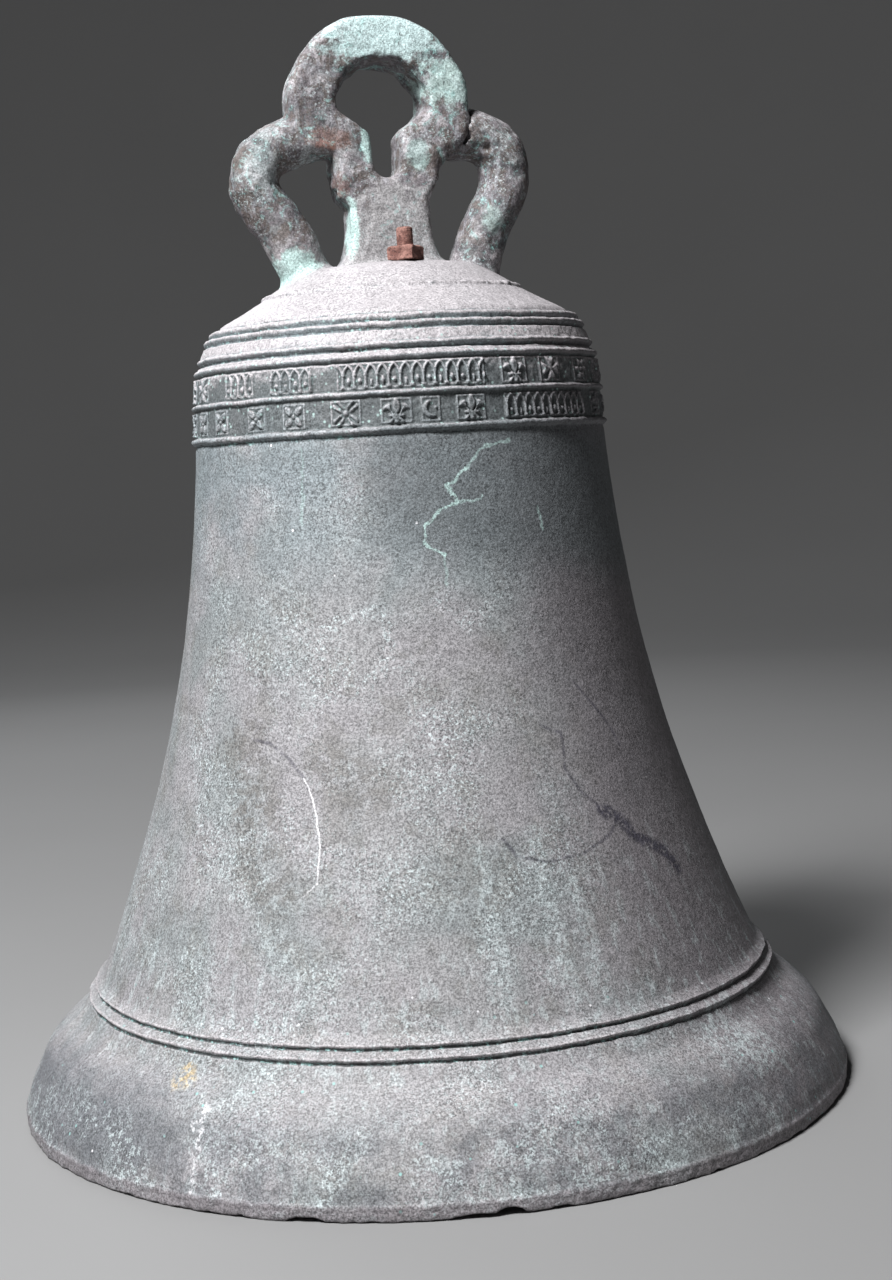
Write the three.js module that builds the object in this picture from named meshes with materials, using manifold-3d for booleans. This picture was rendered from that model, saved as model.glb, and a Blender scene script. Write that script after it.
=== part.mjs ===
// A church bell: a cast bronze bell with three hanging loops on its crown, and the iron gear that holds its clapper.
// Millimetres, +Z up. The origin is the centre of the lip's resting plane. The hanging loops lie in the XZ plane,
// where the beam of a bell frame would run, so the clapper pin lies along X and the clapper swings in the YZ plane.
import * as THREE from "three";
import { mergeVertices } from "three/addons/utils/BufferGeometryUtils.js";
import Module from "manifold-3d";

const wasm = await Module();
wasm.setup();

// Driving dimensions.
const LIP_RADIUS = 499;
const HEAD_TOP = 983; // flat top of the bell's head, where the crown stands
const HEAD_UNDERSIDE = 943;
const BELL_SIDES = 48;
const ROUND_SIDES = 20;
const GAP = 0.3; // between pieces that touch
const RUNNING_GAP = 0.6; // between pieces that turn on each other

const LOOP_CENTRE = new THREE.Vector2(-4, 1168);
const LOOP_OUTER_RADIUS = 106;
const LOOP_INNER_RADIUS = 56;
const CROWN_DEPTH = 62; // along Y
const CROWN_CHAMFER = 9;
const CANON_RADIUS = 30;
const CANON_SIDES = 12;
const CANON_STEPS = 14;
const CRACK_WIDTH = 3; // the right canon has broken away from the argent

const BOLT_RADIUS = 9.5;
const BOLT_OFFSET = 84; // along Y, on either side of the crown
const BOLT_TOP = 1021.5;
const NUT_WIDTH = 33;
const NUT_HEIGHT = 16;
const NUT_TURN = THREE.MathUtils.degToRad(51.5);
const BOLT_HEAD_HEIGHT = 12;

const STAPLE_THICKNESS = 16;
const STAPLE_HALF_LENGTH = 107;
const STAPLE_HALF_WIDTH = 34;
const EAR_INNER = 19.5;
const EAR_HALF_WIDTH = 30;

const PIVOT_HEIGHT = 862;
const PIN_RADIUS = 13;
const PIN_HEAD_RADIUS = 22;
const PIN_HEAD_LENGTH = 12;
const PIN_END = 56;
const WASHER_THICKNESS = 5;
const WASHER_RADIUS = 24;
const COTTER_RADIUS = 2.5;
const COTTER_PLACE = 47.5; // along X

const BUSH_THICKNESS = 5;
const EYE_RADIUS = 37;
const EYE_HALF_WIDTH = 17;
const BALL_RADIUS = 55;
const BALL_HEIGHT = 68;
const FLIGHT_BOTTOM = 8; // the flight is short, so that the bell stands on its lip with its clapper in
const FLIGHT_RADIUS = 24;
const SHANK_FOOT_RADIUS = 24;

const bronze = new THREE.MeshStandardMaterial({ color: 0x6f7370, roughness: 0.75, metalness: 0.35 });
const crownBronze = new THREE.MeshStandardMaterial({ color: 0x7d857c, roughness: 0.8, metalness: 0.3 });
const rustyIron = new THREE.MeshStandardMaterial({ color: 0x6b4236, roughness: 0.95, metalness: 0.2 });
const forgedIron = new THREE.MeshStandardMaterial({ color: 0x4a3f39, roughness: 0.7, metalness: 0.6 });
const leather = new THREE.MeshStandardMaterial({ color: 0x4b3020, roughness: 0.85, metalness: 0 });

const bell = new THREE.Group();
const clapperBody = new THREE.Group();
bell.add(clapperBody);

// ---------- Helpers ----------

function solid(geometry) {
  const plain = new THREE.BufferGeometry();
  plain.setAttribute("position", geometry.getAttribute("position"));
  if (geometry.index) plain.setIndex(geometry.index);
  const merged = mergeVertices(plain, 1e-3);
  return new wasm.Manifold(
    new wasm.Mesh({
      numProp: 3,
      vertProperties: merged.attributes.position.array,
      triVerts: new Uint32Array(merged.index.array),
    }),
  );
}

function geometryOf(manifold) {
  const mesh = manifold.getMesh();
  const geometry = new THREE.BufferGeometry();
  geometry.setAttribute("position", new THREE.BufferAttribute(mesh.vertProperties, 3));
  geometry.setIndex(new THREE.BufferAttribute(mesh.triVerts, 1));
  geometry.computeVertexNormals();
  return geometry;
}

function add(parent, name, manifold, material) {
  const mesh = new THREE.Mesh(geometryOf(manifold), material);
  mesh.name = name;
  parent.add(mesh);
  return mesh;
}

// A solid of revolution about Z from [radius, height] points, top first.
function turned(points, sides) {
  const outline = points.map(([radius, height]) => new THREE.Vector2(radius, height)).reverse();
  return solid(new THREE.LatheGeometry(outline, sides).rotateX(Math.PI / 2));
}

function cylinderAlongX(radius, from, to, sides = ROUND_SIDES) {
  const geometry = new THREE.CylinderGeometry(radius, radius, to - from, sides).rotateZ(-Math.PI / 2);
  return solid(geometry.translate((from + to) / 2, 0, PIVOT_HEIGHT));
}

function uprightCylinder(radius, from, to, y) {
  const geometry = new THREE.CylinderGeometry(radius, radius, to - from, ROUND_SIDES).rotateX(Math.PI / 2);
  return solid(geometry.translate(0, y, (from + to) / 2));
}

function block(x, y, z) {
  const size = [x[1] - x[0], y[1] - y[0], z[1] - z[0]];
  const centre = [(x[0] + x[1]) / 2, (y[0] + y[1]) / 2, (z[0] + z[1]) / 2];
  return solid(new THREE.BoxGeometry(...size).translate(...centre));
}

// ---------- The bell's wall ----------

// The outside below the head without its mouldings, as [radius, height] points from the shoulder to the lip.
const OUTSIDE = [
  [156.5, 949],
  [173, 939],
  [190, 929.5],
  [205, 921],
  [216, 912.5],
  [225, 901],
  [230.5, 890],
  [234.5, 878],
  [238.5, 860],
  [241, 840],
  [242.5, 815],
  [244, 790],
  [245.6, 768],
  [252, 700],
  [265.6, 600],
  [284.5, 500],
  [310.6, 400],
  [343.2, 300],
  [381, 200],
  [398.5, 160],
  [412, 137],
  [424.5, 120],
  [448.6, 100],
  [467.6, 80],
  [478.5, 60],
  [488.5, 40],
  [495.5, 20],
  [LIP_RADIUS, 5],
];
const outside = new THREE.SplineCurve(OUTSIDE.map(([radius, height]) => new THREE.Vector2(radius, height)));

// The inside, from the lip up to the head.
const INSIDE = [
  [466, 8],
  [436, 26],
  [412, 50],
  [393, 80],
  [374, 112],
  [356, 148],
  [330, 215],
  [305, 305],
  [283, 395],
  [248, 545],
  [226, 690],
  [215, 800],
  [208, 852],
  [194, 890],
  [168, 915],
  [115, HEAD_UNDERSIDE],
];

const HEAD = [
  [108, HEAD_TOP],
  [118, 973],
  [137, 961],
  [155, 951.5],
];

// Raised mouldings: the height of each one's middle, its width up the wall, and how far it stands proud.
const MOULDINGS = [
  { height: 911.5, width: 6, proud: 2.5 },
  { height: 902.5, width: 6, proud: 2.5 },
  { height: 881.5, width: 6, proud: 2 },
  { height: 866, width: 9, proud: 3.5 },
  { height: 827.5, width: 8, proud: 4 },
  { height: 788.5, width: 9, proud: 4.5 },
  { height: 153, width: 8, proud: 4 },
  { height: 142.5, width: 9, proud: 4.5 },
];

const PLAIN_HEIGHTS = [949, 934, 921, 893, 874, 768, 700, 620, 540, 460, 380, 300, 230, 180];
PLAIN_HEIGHTS.push(130, 118, 106, 94, 80, 60, 38, 18, 5);

// The point of the outside at a height, moved out square to the wall.
function outsideAt(height, proud) {
  let low = 0;
  let high = 1;
  for (let i = 0; i < 40; i++) {
    const middle = (low + high) / 2;
    if (outside.getPoint(middle).y > height) low = middle;
    else high = middle;
  }
  const point = outside.getPoint(low);
  const tangent = outside.getTangent(low);
  return [point.x - tangent.y * proud, point.y + tangent.x * proud];
}

function bellWall() {
  const stations = PLAIN_HEIGHTS.map((height) => ({ height, proud: 0 }));
  for (const { height, width, proud } of MOULDINGS) {
    stations.push({ height: height + width / 2, proud: 0 });
    stations.push({ height, proud });
    stations.push({ height: height - width / 2, proud: 0 });
  }
  stations.sort((a, b) => b.height - a.height);
  const wall = stations.map(({ height, proud }) => outsideAt(height, proud));
  const lip = [
    [LIP_RADIUS - 1.5, 0],
    [LIP_RADIUS - 12.5, 0],
  ];
  return turned([[0, HEAD_TOP], ...HEAD, ...wall, ...lip, ...INSIDE, [0, HEAD_UNDERSIDE]], BELL_SIDES);
}

// The bell's head as a plain solid, raised by a gap, that shapes the feet of the loops.
function headTool() {
  const lifted = [[0, HEAD_TOP], ...HEAD, ...OUTSIDE.slice(0, 3)].map(([r, z]) => [r, z + GAP]);
  const bottom = OUTSIDE[2][1] - 60;
  return turned([...lifted, [OUTSIDE[2][0], bottom], [0, bottom]], BELL_SIDES);
}

// ---------- The crown: the argent in the middle and a canon on each side ----------

function argentShape() {
  const shape = new THREE.Shape();
  shape.moveTo(-64, HEAD_UNDERSIDE);
  shape.lineTo(-64, 975);
  shape.quadraticCurveTo(-47, 1005, -47, 1052);
  shape.lineTo(-61, 1066);
  shape.lineTo(-66, 1092);
  shape.lineTo(-67, 1114);
  shape.lineTo(-92, 1120);
  const start = Math.PI + Math.asin((LOOP_CENTRE.y - 1130) / LOOP_OUTER_RADIUS);
  shape.absarc(LOOP_CENTRE.x, LOOP_CENTRE.y, LOOP_OUTER_RADIUS, start, Math.PI - start, true);
  shape.lineTo(80, 1119);
  shape.lineTo(61, 1113);
  shape.lineTo(59, 1083);
  shape.lineTo(45, 1062);
  shape.quadraticCurveTo(46, 1005, 70, 975);
  shape.lineTo(70, HEAD_UNDERSIDE);

  const eye = new THREE.Path();
  eye.absarc(LOOP_CENTRE.x, LOOP_CENTRE.y - 1, LOOP_INNER_RADIUS, -Math.PI * 0.1, Math.PI * 1.1, false);
  eye.lineTo(-40, 1143);
  eye.lineTo(-24, 1128);
  eye.lineTo(-20, 1087);
  eye.quadraticCurveTo(-2, 1072, 15, 1087);
  eye.lineTo(19, 1126);
  eye.lineTo(31, 1142);
  shape.holes.push(eye);
  return shape;
}

// The argent with its sides grown by a margin, so that a grown one can cut the canons' ends.
function argent(margin = 0) {
  const geometry = new THREE.ExtrudeGeometry(argentShape(), {
    depth: CROWN_DEPTH - 2 * CROWN_CHAMFER,
    bevelThickness: CROWN_CHAMFER + margin,
    bevelSize: CROWN_CHAMFER + margin,
    bevelOffset: -CROWN_CHAMFER,
    bevelSegments: 1,
    curveSegments: 20,
  });
  geometry.rotateX(Math.PI / 2).translate(0, CROWN_DEPTH / 2 - CROWN_CHAMFER, 0);
  return solid(geometry).subtract(headTool());
}

// A bent round bar that follows [x, z] points in the XZ plane.
function bentBar(points, steps) {
  const path = new THREE.CatmullRomCurve3(points.map(([x, z]) => new THREE.Vector3(x, 0, z)));
  const section = new THREE.Shape();
  section.absarc(0, 0, CANON_RADIUS, 0, Math.PI * 2);
  const options = { steps, extrudePath: path, curveSegments: CANON_SIDES / 2 };
  return solid(new THREE.ExtrudeGeometry(section, options));
}

const LEFT_CANON = [[-88, 945], [-100, 972], [-126, 1030], [-158, 1088], [-148, 1113], [-108, 1133], [-80, 1140]];
const RIGHT_CANON = [[93, 945], [102, 975], [120, 1025], [147, 1083], [142, 1115], [121, 1133], [85, 1138]];

function canon(points, gapToArgent) {
  return bentBar(points, CANON_STEPS).subtract(headTool()).subtract(argent(gapToArgent));
}

// The largest of the bodies that a cut leaves.
function mainBody(manifold) {
  return manifold.decompose().sort((a, b) => b.volume() - a.volume())[0];
}

// ---------- The clapper staple, its bolts and nuts ----------

function stapleBolt(y) {
  const top = HEAD_UNDERSIDE - GAP - STAPLE_THICKNESS - GAP;
  const shaft = uprightCylinder(BOLT_RADIUS, top - 1, BOLT_TOP, y);
  const half = NUT_WIDTH / 2;
  return shaft.add(block([-half, half], [y - half, y + half], [top - BOLT_HEAD_HEIGHT, top]));
}

function squareNut() {
  const half = NUT_WIDTH / 2;
  const nut = block([-half, half], [-half, half], [0, NUT_HEIGHT]);
  const reach = NUT_HEIGHT + half * 1.25; // of the cone that takes the top corners off
  const cone = new THREE.ConeGeometry(reach, reach, ROUND_SIDES).rotateX(Math.PI / 2).translate(0, 0, reach / 2);
  return nut.intersect(solid(cone)).subtract(uprightCylinder(BOLT_RADIUS + 2 * GAP, -1, NUT_HEIGHT + 1, 0));
}

function clapperStaple() {
  const top = HEAD_UNDERSIDE - GAP;
  const bottom = top - STAPLE_THICKNESS;
  let staple = block(
    [-STAPLE_HALF_WIDTH, STAPLE_HALF_WIDTH],
    [-STAPLE_HALF_LENGTH, STAPLE_HALF_LENGTH],
    [bottom, top],
  );
  for (const side of [-1, 1]) {
    const x = [side * EAR_INNER, side * STAPLE_HALF_WIDTH].sort((a, b) => a - b);
    staple = staple
      .add(block(x, [-EAR_HALF_WIDTH, EAR_HALF_WIDTH], [PIVOT_HEIGHT, bottom + 1]))
      .add(cylinderAlongX(EAR_HALF_WIDTH, x[0], x[1]))
      .subtract(uprightCylinder(BOLT_RADIUS + 2 * GAP, bottom - 1, top + 1, side * BOLT_OFFSET));
  }
  return staple.subtract(cylinderAlongX(PIN_RADIUS + 2 * GAP, -STAPLE_HALF_WIDTH - 1, STAPLE_HALF_WIDTH + 1));
}

function boltedBell() {
  let wall = bellWall();
  for (const side of [-1, 1]) {
    const hole = uprightCylinder(BOLT_RADIUS + 3 * GAP, HEAD_UNDERSIDE - 40, HEAD_TOP + 40, side * BOLT_OFFSET);
    wall = wall.subtract(hole);
  }
  return wall;
}

// ---------- The pin that the clapper swings on ----------

function clapperPin() {
  const headFrom = -STAPLE_HALF_WIDTH - GAP - PIN_HEAD_LENGTH;
  const pin = cylinderAlongX(PIN_RADIUS, headFrom + 1, PIN_END).add(
    cylinderAlongX(PIN_HEAD_RADIUS, headFrom, headFrom + PIN_HEAD_LENGTH),
  );
  const cross = new THREE.CylinderGeometry(COTTER_RADIUS + GAP, COTTER_RADIUS + GAP, 4 * PIN_RADIUS, 12);
  return pin.subtract(solid(cross.rotateX(Math.PI / 2).translate(COTTER_PLACE, 0, PIVOT_HEIGHT)));
}

function pinWasher() {
  const from = STAPLE_HALF_WIDTH + GAP;
  const ring = cylinderAlongX(WASHER_RADIUS, from, from + WASHER_THICKNESS);
  return ring.subtract(cylinderAlongX(PIN_RADIUS + 2 * GAP, from - 1, from + WASHER_THICKNESS + 1));
}

// A split pin: a ring over a straight leg whose end is spread.
function pinCotter() {
  const leg = new THREE.CylinderGeometry(COTTER_RADIUS, COTTER_RADIUS, 3 * PIN_RADIUS, 10).rotateX(Math.PI / 2);
  const ring = new THREE.TorusGeometry(COTTER_RADIUS * 2, COTTER_RADIUS * 0.9, 6, 12).rotateX(Math.PI / 2);
  const tail = new THREE.CylinderGeometry(COTTER_RADIUS * 0.8, COTTER_RADIUS * 0.8, 14, 10).rotateX(Math.PI / 4);
  const top = PIVOT_HEIGHT + PIN_RADIUS * 1.5;
  const bottom = PIVOT_HEIGHT - PIN_RADIUS * 1.5;
  return solid(leg.translate(COTTER_PLACE, 0, PIVOT_HEIGHT))
    .add(solid(ring.translate(COTTER_PLACE, 0, top + COTTER_RADIUS * 1.4)))
    .add(solid(tail.translate(COTTER_PLACE, -4, bottom - 3)));
}

// ---------- The clapper ----------

function clapperBush() {
  const outer = PIN_RADIUS + RUNNING_GAP + BUSH_THICKNESS;
  const ring = cylinderAlongX(outer, -EYE_HALF_WIDTH, EYE_HALF_WIDTH);
  return ring.subtract(cylinderAlongX(PIN_RADIUS + RUNNING_GAP, -EYE_HALF_WIDTH - 1, EYE_HALF_WIDTH + 1));
}

function clapper() {
  const arc = [];
  const steps = 8;
  const topAngle = Math.acos(SHANK_FOOT_RADIUS / BALL_RADIUS);
  const bottomAngle = -Math.acos(FLIGHT_RADIUS / BALL_RADIUS);
  for (let i = 0; i <= steps; i++) {
    const angle = topAngle + ((bottomAngle - topAngle) * i) / steps;
    arc.push([BALL_RADIUS * Math.cos(angle), BALL_HEIGHT + BALL_RADIUS * Math.sin(angle)]);
  }
  const shankTop = PIVOT_HEIGHT - EYE_RADIUS + 10;
  const outline = [
    [0, shankTop],
    [17, shankTop],
    [19, shankTop - 60],
    [22, BALL_HEIGHT + 200],
    [SHANK_FOOT_RADIUS - 1, BALL_HEIGHT + BALL_RADIUS + 12],
    ...arc,
    [FLIGHT_RADIUS - 3, FLIGHT_BOTTOM],
    [0, FLIGHT_BOTTOM],
  ];
  const bore = cylinderAlongX(
    PIN_RADIUS + RUNNING_GAP + BUSH_THICKNESS + 2 * GAP,
    -EYE_HALF_WIDTH - 1,
    EYE_HALF_WIDTH + 1,
  );
  return turned(outline, ROUND_SIDES).add(cylinderAlongX(EYE_RADIUS, -EYE_HALF_WIDTH, EYE_HALF_WIDTH)).subtract(bore);
}

// ---------- The assembly ----------

add(bell, "bell_casting", boltedBell(), bronze);
add(bell, "argent", argent(), crownBronze);
add(bell, "left_canon", mainBody(canon(LEFT_CANON, GAP)), crownBronze);
add(bell, "right_canon", mainBody(canon(RIGHT_CANON, CRACK_WIDTH)), crownBronze);

for (const [place, side] of [
  ["front", -1],
  ["rear", 1],
]) {
  add(bell, place + "_staple_bolt", stapleBolt(side * BOLT_OFFSET), rustyIron);
  const nut = add(bell, place + "_staple_nut", squareNut(), rustyIron);
  nut.position.set(0, side * BOLT_OFFSET, HEAD_TOP + GAP);
  nut.rotation.z = NUT_TURN;
}

add(bell, "clapper_staple", clapperStaple(), forgedIron);
add(bell, "clapper_pin", clapperPin(), forgedIron);
add(bell, "pin_washer", pinWasher(), forgedIron);
add(bell, "pin_cotter", pinCotter(), forgedIron);
add(clapperBody, "clapper_bush", clapperBush(), leather);
add(clapperBody, "clapper", clapper(), forgedIron);

export default bell;
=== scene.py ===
import math
from itertools import product

import bpy
import numpy as np
from mathutils import Matrix, Vector


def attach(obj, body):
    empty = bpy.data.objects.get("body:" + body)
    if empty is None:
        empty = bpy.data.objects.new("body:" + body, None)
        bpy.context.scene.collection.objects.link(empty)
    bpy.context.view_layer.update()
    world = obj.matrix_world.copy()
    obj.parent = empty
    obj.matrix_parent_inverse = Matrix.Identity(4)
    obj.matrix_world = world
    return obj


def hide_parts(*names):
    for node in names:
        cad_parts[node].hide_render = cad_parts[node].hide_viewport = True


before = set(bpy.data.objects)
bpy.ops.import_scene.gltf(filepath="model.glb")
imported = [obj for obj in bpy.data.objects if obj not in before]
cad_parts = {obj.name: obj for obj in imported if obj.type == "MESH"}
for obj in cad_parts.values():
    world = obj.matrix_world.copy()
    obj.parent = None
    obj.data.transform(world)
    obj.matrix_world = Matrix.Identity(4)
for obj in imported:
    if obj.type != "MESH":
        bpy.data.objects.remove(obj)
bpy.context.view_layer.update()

MM = 0.001


# ---------- Camera ----------

CAMERA_AZIMUTH = math.radians(-13)  # the crown is seen a little from its left end
CAMERA_DISTANCE = 2.4504  # from the bell's axis
CAMERA_HEIGHT = 0.7543
CAMERA_PAN = 0.0168
CAMERA_PITCH = -0.0896
CAMERA_ROLL = -0.0576
CAMERA_LENS = 57.0  # with the frame's long side as 36 mm


def make_camera():
    heading = CAMERA_PAN - CAMERA_AZIMUTH
    level = Vector((math.sin(heading), math.cos(heading), 0))
    forward = level * math.cos(CAMERA_PITCH) + Vector((0, 0, math.sin(CAMERA_PITCH)))
    right = Vector((math.cos(heading), -math.sin(heading), 0))
    up = right.cross(forward)
    turned_right = right * math.cos(CAMERA_ROLL) + up * math.sin(CAMERA_ROLL)
    turned_up = up * math.cos(CAMERA_ROLL) - right * math.sin(CAMERA_ROLL)
    data = bpy.data.cameras.new("camera")
    data.lens = CAMERA_LENS
    data.sensor_width = 36
    camera = bpy.data.objects.new("camera", data)
    columns = Matrix((turned_right, turned_up, -forward)).transposed()
    camera.matrix_world = columns.to_4x4()
    camera.location = (
        CAMERA_DISTANCE * math.sin(CAMERA_AZIMUTH),
        -CAMERA_DISTANCE * math.cos(CAMERA_AZIMUTH),
        CAMERA_HEIGHT,
    )
    bpy.context.scene.collection.objects.link(camera)
    bpy.context.scene.camera = camera


make_camera()


# ---------- Noise, curves and distances, in millimetres ----------

NOISE_CELLS = 64


def noise(points, size, seed):
    """Smooth noise from -1 to 1 at each point, with lumps of about that size."""
    grid = np.random.default_rng(seed).uniform(-1, 1, (NOISE_CELLS,) * 3)
    scaled = points / size
    cell = np.floor(scaled).astype(np.int64)
    part = scaled - cell
    part = part * part * (3 - 2 * part)
    total = np.zeros(len(points))
    for corner in product((0, 1), repeat=3):
        index = (cell + corner) % NOISE_CELLS
        weight = np.where(corner, part, 1 - part).prod(axis=1)
        total += weight * grid[index[:, 0], index[:, 1], index[:, 2]]
    return total


def roughness(points, layers, seed):
    """The sum of noise layers, each given as (size, height)."""
    return sum(height * noise(points, size, seed + i) for i, (size, height) in enumerate(layers))


def smooth_line(points, spacing):
    """Points about spacing apart on a smooth curve through the given ones."""
    points = np.array(points, float)
    steps = np.diff(points, axis=0)
    lengths = np.linalg.norm(steps, axis=1)
    slopes = steps / lengths[:, None]
    tangents = np.vstack([slopes[:1], slopes, slopes[-1:]])
    before = np.concatenate([lengths[:1], lengths])[:, None]
    after = np.concatenate([lengths, lengths[-1:]])[:, None]
    tangents = (tangents[:-1] * after + tangents[1:] * before) / (before + after)
    line = []
    for i, length in enumerate(lengths):
        t = np.arange(0, 1, spacing / length)[:, None]
        line.append(
            (2 * t**3 - 3 * t**2 + 1) * points[i]
            + (t**3 - 2 * t**2 + t) * length * tangents[i]
            + (3 * t**2 - 2 * t**3) * points[i + 1]
            + (t**3 - t**2) * length * tangents[i + 1]
        )
    return np.vstack([*line, points[-1:]])


def smooth_min(a, b, blend):
    """The union of two distance fields, with a fillet of about that size."""
    mix = np.clip(0.5 + 0.5 * (b - a) / blend, 0, 1)
    return b + (a - b) * mix - blend * mix * (1 - mix)


def smooth_max(a, b, blend):
    return -smooth_min(-a, -b, blend)


def rod(x, y, z, start, end, radius):
    """Distance to a round-ended rod."""
    start = np.array(start, float)
    along = np.array(end, float) - start
    offset = (x - start[0], y - start[1], z - start[2])
    t = sum(a * b for a, b in zip(offset, along)) / (along @ along)
    t = np.clip(t, 0, 1)
    gap = sum((a - t * b) ** 2 for a, b in zip(offset, along))
    return np.sqrt(gap) - radius


def polygon(u, v, corners):
    """Distance to a polygon's outline in a plane, negative inside."""
    nearest = np.full(np.broadcast(u, v).shape, np.inf)
    inside = np.zeros(nearest.shape, bool)
    for (u0, v0), (u1, v1) in zip(corners, corners[1:] + corners[:1]):
        t = ((u - u0) * (u1 - u0) + (v - v0) * (v1 - v0)) / ((u1 - u0) ** 2 + (v1 - v0) ** 2)
        t = np.clip(t, 0, 1)
        nearest = np.minimum(nearest, np.hypot(u - u0 - t * (u1 - u0), v - v0 - t * (v1 - v0)))
        if v0 != v1:
            inside ^= ((v >= v0) != (v >= v1)) & (u < (v - v0) * (u1 - u0) / (v1 - v0) + u0)
    return np.where(inside, -nearest, nearest)


def thick(outline, across, half, rounding):
    """A flat outline made into a slab with rounded edges: across is the distance from its middle plane."""
    a = outline + rounding
    b = np.abs(across) - half + rounding
    return np.hypot(np.maximum(a, 0), np.maximum(b, 0)) + np.minimum(np.maximum(a, b), 0) - rounding


# ---------- Meshes ----------


def add_mesh(name, points, face_sets, material):
    """A smooth mesh from points in millimetres and arrays of faces."""
    mesh = bpy.data.meshes.new(name)
    corners = np.concatenate([faces.ravel() for faces in face_sets])
    sizes = np.concatenate([np.full(len(faces), faces.shape[1]) for faces in face_sets])
    mesh.vertices.add(len(points))
    mesh.vertices.foreach_set("co", (points * MM).ravel())
    mesh.loops.add(len(corners))
    mesh.loops.foreach_set("vertex_index", corners)
    mesh.polygons.add(len(sizes))
    mesh.polygons.foreach_set("loop_start", np.concatenate([[0], np.cumsum(sizes)[:-1]]))
    mesh.update(calc_edges=True)
    mesh.validate()
    mesh.polygons.foreach_set("use_smooth", np.ones(len(mesh.polygons), bool))
    mesh.materials.append(material)
    made = bpy.data.objects.new(name, mesh)
    bpy.context.scene.collection.objects.link(made)
    return made


def add_piece(name, points, face_sets, proud, material, body, slot, *nodes):
    """A mesh that rides on a body in place of CAD nodes.

    proud says how far each point stands above its surroundings, for the materials to read."""
    piece = add_mesh(name, points, face_sets, material)
    piece.data.attributes.new("proud", "FLOAT", "POINT").data.foreach_set("value", proud)
    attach(piece, body)
    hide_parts(*nodes)


def skin(field, low, high, cell):
    """Points and quads of the surface where a distance field is zero, by surface nets."""
    axes = [np.arange(a - cell, b + 1.5 * cell, cell) for a, b in zip(low, high)]
    value = np.array(field(*np.meshgrid(*axes, indexing="ij", sparse=True)), float)
    for axis in range(3):
        border = np.moveaxis(value, axis, 0)
        border[[0, -1]] = np.maximum(border[[0, -1]], cell / 4)
    inside = value < 0
    owners, crossings, flips = [], [], []
    for axis in range(3):
        here = tuple(slice(None, -1) if i == axis else slice(None) for i in range(3))
        there = tuple(slice(1, None) if i == axis else slice(None) for i in range(3))
        index = np.argwhere(inside[here] != inside[there])
        a = value[here][tuple(index.T)]
        b = value[there][tuple(index.T)]
        place = index.astype(float)
        place[:, axis] += a / (a - b)
        first, second = np.eye(3, dtype=int)[[(axis + 1) % 3, (axis + 2) % 3]]
        round_edge = [index - first - second, index - second, index, index - first]
        owners.append(np.stack([np.ravel_multi_index(cells.T, value.shape) for cells in round_edge], axis=1))
        crossings.append(np.repeat(place[:, None], 4, axis=1))
        flips.append(a > 0)
    owners = np.concatenate(owners)
    crossings = np.concatenate(crossings)
    flips = np.concatenate(flips)
    _, quads = np.unique(owners, return_inverse=True)
    quads = quads.reshape(owners.shape)
    flat = quads.ravel()
    count = np.bincount(flat)
    points = np.stack([np.bincount(flat, crossings[..., i].ravel()) / count for i in range(3)], axis=1)
    quads[flips] = quads[flips][:, ::-1]
    origin = np.array([axis[0] for axis in axes])
    return origin + points * cell, quads


def relax(points, quads, rounds):
    """Each point moves halfway to the middle of its neighbours, several times over."""
    ends = quads[:, [0, 1, 2, 3]].ravel()
    nexts = quads[:, [1, 2, 3, 0]].ravel()
    count = np.bincount(ends, minlength=len(points))
    for _ in range(rounds):
        middle = np.stack([np.bincount(ends, points[nexts, i], len(points)) for i in range(3)], axis=1)
        points = (points + middle / count[:, None]) / 2
    return points


def normals_of(points, quads):
    across = np.cross(points[quads[:, 2]] - points[quads[:, 0]], points[quads[:, 3]] - points[quads[:, 1]])
    weights = np.repeat(across, 4, axis=0)
    flat = quads.ravel()
    total = np.stack([np.bincount(flat, weights[:, i], len(points)) for i in range(3)], axis=1)
    return total / np.linalg.norm(total, axis=1, keepdims=True)


def rough_skin(field, low, high, cell, layers, seed):
    """A skin with its grid marks relaxed away and its surface roughened: points, face sets and roughness."""
    points, quads = skin(field, low, high, cell)
    points = relax(points, quads, 2)
    rough = roughness(points, layers, seed)
    return points + normals_of(points, quads) * rough[:, None], [quads], rough


# ---------- Materials ----------

MARK_RADIUS = 265  # marks on the wall are laid out as on a cylinder of this radius


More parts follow.
